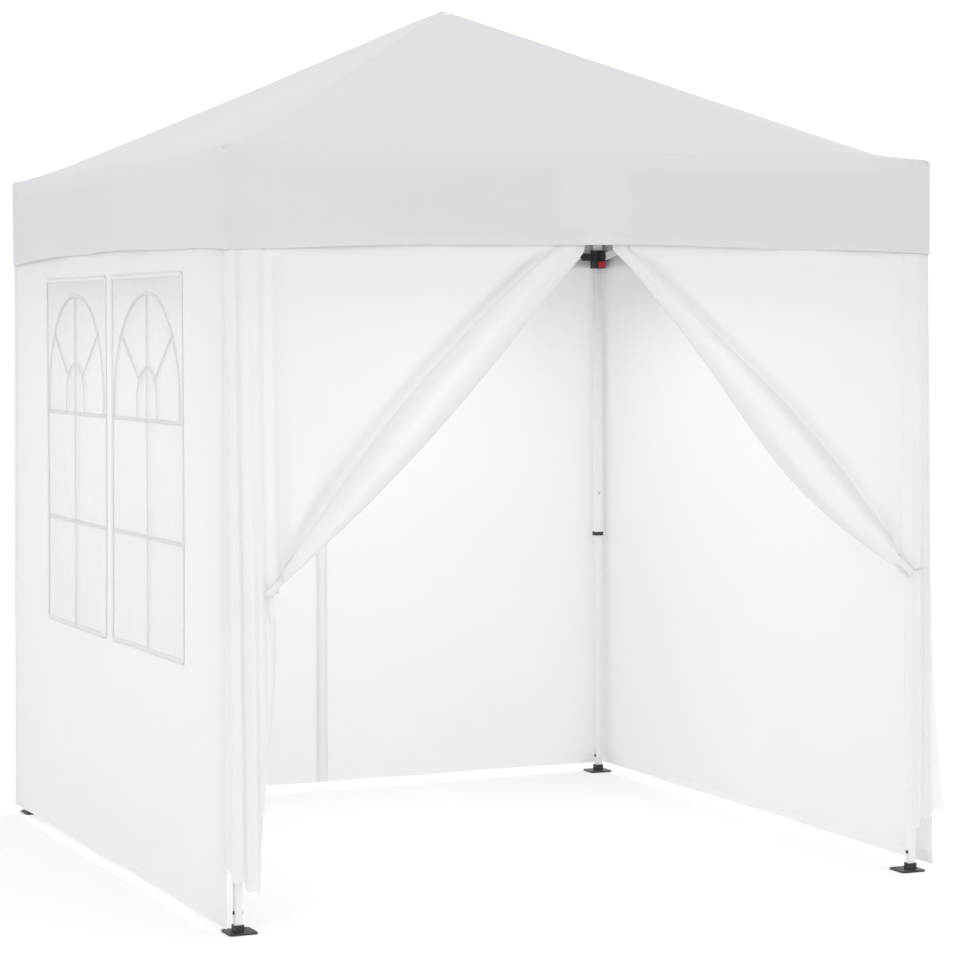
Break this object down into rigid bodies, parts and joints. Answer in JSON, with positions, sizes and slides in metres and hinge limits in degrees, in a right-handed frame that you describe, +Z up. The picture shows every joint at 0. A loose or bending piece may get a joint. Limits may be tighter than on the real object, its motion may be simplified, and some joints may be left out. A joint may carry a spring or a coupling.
{
  "type": "pop up canopy",
  "caption": "Square pop-up canopy with a pyramid roof and valance on a folding scissor frame, two plain walls, one window wall and a door wall tied back.",
  "frame": {"origin": "centre of the floor between the four feet", "axes": "+Z up, the door faces -Y, the window wall faces -X"},
  "size_m": [2.008, 2.01, 2.4],
  "materials": {
    "white_steel": "light grey-white powder coat, satin",
    "black_plastic": "black moulded nylon, matte",
    "red_plastic": "dark red moulded plastic",
    "bright_steel": "bare zinc-plated steel",
    "canopy_fabric": "coated polyester, plain weave, light grey-white",
    "wall_fabric": "thin coated polyester, white",
    "clear_film": "clear vinyl window film"
  },
  "bodies": {
    "front_left_leg": {"front_left_upper_leg": "white_steel", "front_left_corner_bracket": "black_plastic", "roof_canopy": "canopy_fabric", "left_wall": "wall_fabric", "left_window_film": "clear_film", "front_door_wall": "wall_fabric"},
    "front_right_leg": {"front_right_upper_leg": "white_steel", "front_right_corner_bracket": "black_plastic", "right_wall": "wall_fabric"},
    "back_left_leg": {"back_left_upper_leg": "white_steel", "back_left_corner_bracket": "black_plastic", "back_door_wall": "wall_fabric"},
    "back_right_leg": {"back_right_upper_leg": "white_steel", "back_right_corner_bracket": "black_plastic"},
    "front_left_lower_leg": {"front_left_lower_leg": "white_steel", "front_left_foot": "black_plastic"},
    "front_left_slider": {"front_left_slider": "black_plastic"},
    "front_left_release_button": {"front_left_release_button": "red_plastic"},
    "front_left_height_button": {"front_left_height_button": "bright_steel"},
    "front_right_lower_leg": {"front_right_lower_leg": "white_steel", "front_right_foot": "black_plastic"},
    "front_right_slider": {"front_right_slider": "black_plastic"},
    "front_right_release_button": {"front_right_release_button": "red_plastic"},
    "front_right_height_button": {"front_right_height_button": "bright_steel"},
    "back_left_lower_leg": {"back_left_lower_leg": "white_steel", "back_left_foot": "black_plastic"},
    "back_left_slider": {"back_left_slider": "black_plastic"},
    "back_left_release_button": {"back_left_release_button": "red_plastic"},
    "back_left_height_button": {"back_left_height_button": "bright_steel"},
    "back_right_lower_leg": {"back_right_lower_leg": "white_steel", "back_right_foot": "black_plastic"},
    "back_right_slider": {"back_right_slider": "black_plastic"},
    "back_right_release_button": {"back_right_release_button": "red_plastic"},
    "back_right_height_button": {"back_right_height_button": "bright_steel"},
    "front_truss_bar_1": {"front_truss_bar_1": "white_steel"},
    "front_truss_bar_2": {"front_truss_bar_2": "white_steel"},
    "front_truss_bar_3": {"front_truss_bar_3": "white_steel"},
    "front_truss_bar_4": {"front_truss_bar_4": "white_steel"},
    "front_mid_bracket": {"front_mid_bracket": "black_plastic"},
    "front_roof_bar": {"front_roof_bar": "white_steel"},
    "left_truss_bar_1": {"left_truss_bar_1": "white_steel"},
    "left_truss_bar_2": {"left_truss_bar_2": "white_steel"},
    "left_truss_bar_3": {"left_truss_bar_3": "white_steel"},
    "left_truss_bar_4": {"left_truss_bar_4": "white_steel"},
    "left_mid_bracket": {"left_mid_bracket": "black_plastic"},
    "left_roof_bar": {"left_roof_bar": "white_steel"},
    "right_truss_bar_1": {"right_truss_bar_1": "white_steel"},
    "right_truss_bar_2": {"right_truss_bar_2": "white_steel"},
    "right_truss_bar_3": {"right_truss_bar_3": "white_steel"},
    "right_truss_bar_4": {"right_truss_bar_4": "white_steel"},
    "right_mid_bracket": {"right_mid_bracket": "black_plastic"},
    "right_roof_bar": {"right_roof_bar": "white_steel"},
    "back_truss_bar_1": {"back_truss_bar_1": "white_steel"},
    "back_truss_bar_2": {"back_truss_bar_2": "white_steel"},
    "back_truss_bar_3": {"back_truss_bar_3": "white_steel"},
    "back_truss_bar_4": {"back_truss_bar_4": "white_steel"},
    "back_mid_bracket": {"back_mid_bracket": "black_plastic"},
    "back_roof_bar": {"back_roof_bar": "white_steel"},
    "hub": {"centre_hub": "black_plastic", "peak_pole": "white_steel"}
  },
  "joints": [
    {"name": "fold", "type": "hinge", "parent": "front_left_leg", "child": "front_truss_bar_1", "pos_m": [-0.922, -0.972, 1.89], "axis": [0, 1, 0], "range_deg": [0, 75.6], "deforming": ["roof_canopy", "left_wall", "left_window_film", "right_wall", "back_door_wall", "front_door_wall"]},
    {"name": "front_bar_2_crossing", "type": "hinge", "parent": "front_truss_bar_1", "child": "front_truss_bar_2", "pos_m": [-0.461, -0.972, 1.806], "axis": [0, 1, 0], "range_deg": [-151.2, 0]},
    {"name": "front_bar_3_pivot", "type": "hinge", "parent": "front_truss_bar_1", "child": "front_truss_bar_3", "pos_m": [0, -0.972, 1.722], "axis": [0, 1, 0], "range_deg": [-151.2, 0]},
    {"name": "front_bar_4_crossing", "type": "hinge", "parent": "front_truss_bar_3", "child": "front_truss_bar_4", "pos_m": [0.461, -0.972, 1.806], "axis": [0, 1, 0], "range_deg": [0, 151.2]},
    {"name": "front_right_leg_pivot", "type": "hinge", "parent": "front_truss_bar_3", "child": "front_right_leg", "pos_m": [0.922, -0.972, 1.89], "axis": [0, 1, 0], "range_deg": [0, 75.6]},
    {"name": "front_left_slider_pivot", "type": "hinge", "parent": "front_truss_bar_2", "child": "front_left_slider", "pos_m": [-0.922, -0.972, 1.722], "axis": [0, 1, 0], "range_deg": [0, 75.6]},
    {"name": "front_right_slider_pivot", "type": "hinge", "parent": "front_truss_bar_4", "child": "front_right_slider", "pos_m": [0.922, -0.972, 1.722], "axis": [0, 1, 0], "range_deg": [-75.6, 0]},
    {"name": "front_mid_bracket_pivot", "type": "hinge", "parent": "front_truss_bar_2", "child": "front_mid_bracket", "pos_m": [0, -0.972, 1.89], "axis": [0, 1, 0], "range_deg": [0, 75.6]},
    {"name": "front_roof_bar_pivot", "type": "hinge", "parent": "front_mid_bracket", "child": "front_roof_bar", "pos_m": [0, -0.942, 1.89], "axis": [-1, 0, 0], "range_deg": [0, 75.6]},
    {"name": "hub_pivot", "type": "hinge", "parent": "front_roof_bar", "child": "hub", "pos_m": [0, -0.02, 1.722], "axis": [-1, 0, 0], "range_deg": [-75.6, 0]},
    {"name": "left_bar_1_pivot", "type": "hinge", "parent": "front_left_leg", "child": "left_truss_bar_1", "pos_m": [-0.972, -0.922, 1.89], "axis": [-1, 0, 0], "range_deg": [0, 75.6]},
    {"name": "left_bar_2_crossing", "type": "hinge", "parent": "left_truss_bar_1", "child": "left_truss_bar_2", "pos_m": [-0.972, -0.461, 1.806], "axis": [-1, 0, 0], "range_deg": [-151.2, 0]},
    {"name": "left_bar_3_pivot", "type": "hinge", "parent": "left_truss_bar_1", "child": "left_truss_bar_3", "pos_m": [-0.972, 0, 1.722], "axis": [-1, 0, 0], "range_deg": [-151.2, 0]},
    {"name": "left_bar_4_crossing", "type": "hinge", "parent": "left_truss_bar_3", "child": "left_truss_bar_4", "pos_m": [-0.972, 0.461, 1.806], "axis": [-1, 0, 0], "range_deg": [0, 151.2]},
    {"name": "back_left_leg_pivot", "type": "hinge", "parent": "left_truss_bar_3", "child": "back_left_leg", "pos_m": [-0.972, 0.922, 1.89], "axis": [-1, 0, 0], "range_deg": [0, 75.6]},
    {"name": "back_left_slider_pivot", "type": "hinge", "parent": "left_truss_bar_4", "child": "back_left_slider", "pos_m": [-0.972, 0.922, 1.722], "axis": [-1, 0, 0], "range_deg": [-75.6, 0]},
    {"name": "left_mid_bracket_pivot", "type": "hinge", "parent": "left_truss_bar_2", "child": "left_mid_bracket", "pos_m": [-0.972, 0, 1.89], "axis": [-1, 0, 0], "range_deg": [0, 75.6]},
    {"name": "left_roof_bar_pivot", "type": "hinge", "parent": "left_mid_bracket", "child": "left_roof_bar", "pos_m": [-0.942, 0, 1.89], "axis": [0, 1, 0], "range_deg": [0, 75.6]},
    {"name": "right_bar_1_pivot", "type": "hinge", "parent": "front_right_leg", "child": "right_truss_bar_1", "pos_m": [0.972, -0.922, 1.89], "axis": [-1, 0, 0], "range_deg": [0, 75.6]},
    {"name": "right_bar_2_crossing", "type": "hinge", "parent": "right_truss_bar_1", "child": "right_truss_bar_2", "pos_m": [0.972, -0.461, 1.806], "axis": [-1, 0, 0], "range_deg": [-151.2, 0]},
    {"name": "right_bar_3_pivot", "type": "hinge", "parent": "right_truss_bar_1", "child": "right_truss_bar_3", "pos_m": [0.972, 0, 1.722], "axis": [-1, 0, 0], "range_deg": [-151.2, 0]},
    {"name": "right_bar_4_crossing", "type": "hinge", "parent": "right_truss_bar_3", "child": "right_truss_bar_4", "pos_m": [0.972, 0.461, 1.806], "axis": [-1, 0, 0], "range_deg": [0, 151.2]},
    {"name": "back_right_leg_pivot", "type": "hinge", "parent": "right_truss_bar_3", "child": "back_right_leg", "pos_m": [0.972, 0.922, 1.89], "axis": [-1, 0, 0], "range_deg": [0, 75.6]},
    {"name": "back_right_slider_pivot", "type": "hinge", "parent": "right_truss_bar_4", "child": "back_right_slider", "pos_m": [0.972, 0.922, 1.722], "axis": [-1, 0, 0], "range_deg": [-75.6, 0]},
    {"name": "right_mid_bracket_pivot", "type": "hinge", "parent": "right_truss_bar_2", "child": "right_mid_bracket", "pos_m": [0.972, 0, 1.89], "axis": [-1, 0, 0], "range_deg": [0, 75.6]},
    {"name": "right_roof_bar_pivot", "type": "hinge", "parent": "right_mid_bracket", "child": "right_roof_bar", "pos_m": [0.942, 0, 1.89], "axis": [0, -1, 0], "range_deg": [0, 75.6]},
    {"name": "back_bar_1_pivot", "type": "hinge", "parent": "back_left_leg", "child": "back_truss_bar_1", "pos_m": [-0.922, 0.972, 1.89], "axis": [0, 1, 0], "range_deg": [0, 75.6]},
    {"name": "back_bar_2_crossing", "type": "hinge", "parent": "back_truss_bar_1", "child": "back_truss_bar_2", "pos_m": [-0.461, 0.972, 1.806], "axis": [0, 1, 0], "range_deg": [-151.2, 0]},
    {"name": "back_bar_3_pivot", "type": "hinge", "parent": "back_truss_bar_1", "child": "back_truss_bar_3", "pos_m": [0, 0.972, 1.722], "axis": [0, 1, 0], "range_deg": [-151.2, 0]},
    {"name": "back_bar_4_crossing", "type": "hinge", "parent": "back_truss_bar_3", "child": "back_truss_bar_4", "pos_m": [0.461, 0.972, 1.806], "axis": [0, 1, 0], "range_deg": [0, 151.2]},
    {"name": "back_mid_bracket_pivot", "type": "hinge", "parent": "back_truss_bar_2", "child": "back_mid_bracket", "pos_m": [0, 0.972, 1.89], "axis": [0, 1, 0], "range_deg": [0, 75.6]},
    {"name": "back_roof_bar_pivot", "type": "hinge", "parent": "back_mid_bracket", "child": "back_roof_bar", "pos_m": [0, 0.942, 1.89], "axis": [1, 0, 0], "range_deg": [0, 75.6]},
    {"name": "front_left_leg_slide", "type": "slide", "parent": "front_left_leg", "child": "front_left_lower_leg", "axis": [0, 0, 1], "range_m": [0, 0.7]},
    {"name": "front_left_slider_release", "type": "slide", "parent": "front_left_slider", "child": "front_left_release_button", "axis": [0, -1, 0], "range_m": [0, 0.004], "stiffness_N_per_m": 400, "springref_m": -0.001},
    {"name": "front_left_height_release", "type": "slide", "parent": "front_left_lower_leg", "child": "front_left_height_button", "axis": [0, -1, 0], "range_m": [0, 0.003], "stiffness_N_per_m": 400, "springref_m": -0.001},
    {"name": "front_right_leg_slide", "type": "slide", "parent": "front_right_leg", "child": "front_right_lower_leg", "axis": [0, 0, 1], "range_m": [0, 0.7]},
    {"name": "front_right_slider_release", "type": "slide", "parent": "front_right_slider", "child": "front_right_release_button", "axis": [0, -1, 0], "range_m": [0, 0.004], "stiffness_N_per_m": 400, "springref_m": -0.001},
    {"name": "front_right_height_release", "type": "slide", "parent": "front_right_lower_leg", "child": "front_right_height_button", "axis": [0, -1, 0], "range_m": [0, 0.003], "stiffness_N_per_m": 400, "springref_m": -0.001},
    {"name": "back_left_leg_slide", "type": "slide", "parent": "back_left_leg", "child": "back_left_lower_leg", "axis": [0, 0, 1], "range_m": [0, 0.7]},
    {"name": "back_left_slider_release", "type": "slide", "parent": "back_left_slider", "child": "back_left_release_button", "axis": [0, 1, 0], "range_m": [0, 0.004], "stiffness_N_per_m": 400, "springref_m": -0.001},
    {"name": "back_left_height_release", "type": "slide", "parent": "back_left_lower_leg", "child": "back_left_height_button", "axis": [0, 1, 0], "range_m": [0, 0.003], "stiffness_N_per_m": 400, "springref_m": -0.001},
    {"name": "back_right_leg_slide", "type": "slide", "parent": "back_right_leg", "child": "back_right_lower_leg", "axis": [0, 0, 1], "range_m": [0, 0.7]},
    {"name": "back_right_slider_release", "type": "slide", "parent": "back_right_slider", "child": "back_right_release_button", "axis": [0, 1, 0], "range_m": [0, 0.004], "stiffness_N_per_m": 400, "springref_m": -0.001},
    {"name": "back_right_height_release", "type": "slide", "parent": "back_right_lower_leg", "child": "back_right_height_button", "axis": [0, 1, 0], "range_m": [0, 0.003], "stiffness_N_per_m": 400, "springref_m": -0.001}
  ],
  "couplings": [
    {"joint": "front_bar_2_crossing", "follows": "fold", "ratio": -2},
    {"joint": "front_bar_3_pivot", "follows": "fold", "ratio": -2},
    {"joint": "front_bar_4_crossing", "follows": "fold", "ratio": 2},
    {"joint": "front_right_leg_pivot", "follows": "fold", "ratio": 1},
    {"joint": "front_left_slider_pivot", "follows": "fold", "ratio": 1},
    {"joint": "front_right_slider_pivot", "follows": "fold", "ratio": -1},
    {"joint": "front_mid_bracket_pivot", "follows": "fold", "ratio": 1},
    {"joint": "front_roof_bar_pivot", "follows": "fold", "ratio": 1},
    {"joint": "hub_pivot", "follows": "fold", "ratio": -1},
    {"joint": "left_bar_1_pivot", "follows": "fold", "ratio": 1},
    {"joint": "left_bar_2_crossing", "follows": "fold", "ratio": -2},
    {"joint": "left_bar_3_pivot", "follows": "fold", "ratio": -2},
    {"joint": "left_bar_4_crossing", "follows": "fold", "ratio": 2},
    {"joint": "back_left_leg_pivot", "follows": "fold", "ratio": 1},
    {"joint": "back_left_slider_pivot", "follows": "fold", "ratio": -1},
    {"joint": "left_mid_bracket_pivot", "follows": "fold", "ratio": 1},
    {"joint": "left_roof_bar_pivot", "follows": "fold", "ratio": 1},
    {"joint": "right_bar_1_pivot", "follows": "fold", "ratio": 1},
    {"joint": "right_bar_2_crossing", "follows": "fold", "ratio": -2},
    {"joint": "right_bar_3_pivot", "follows": "fold", "ratio": -2},
    {"joint": "right_bar_4_crossing", "follows": "fold", "ratio": 2},
    {"joint": "back_right_leg_pivot", "follows": "fold", "ratio": 1},
    {"joint": "back_right_slider_pivot", "follows": "fold", "ratio": -1},
    {"joint": "right_mid_bracket_pivot", "follows": "fold", "ratio": 1},
    {"joint": "right_roof_bar_pivot", "follows": "fold", "ratio": 1},
    {"joint": "back_bar_1_pivot", "follows": "fold", "ratio": 1},
    {"joint": "back_bar_2_crossing", "follows": "fold", "ratio": -2},
    {"joint": "back_bar_3_pivot", "follows": "fold", "ratio": -2},
    {"joint": "back_bar_4_crossing", "follows": "fold", "ratio": 2},
    {"joint": "back_mid_bracket_pivot", "follows": "fold", "ratio": 1},
    {"joint": "back_roof_bar_pivot", "follows": "fold", "ratio": 1}
  ]
}
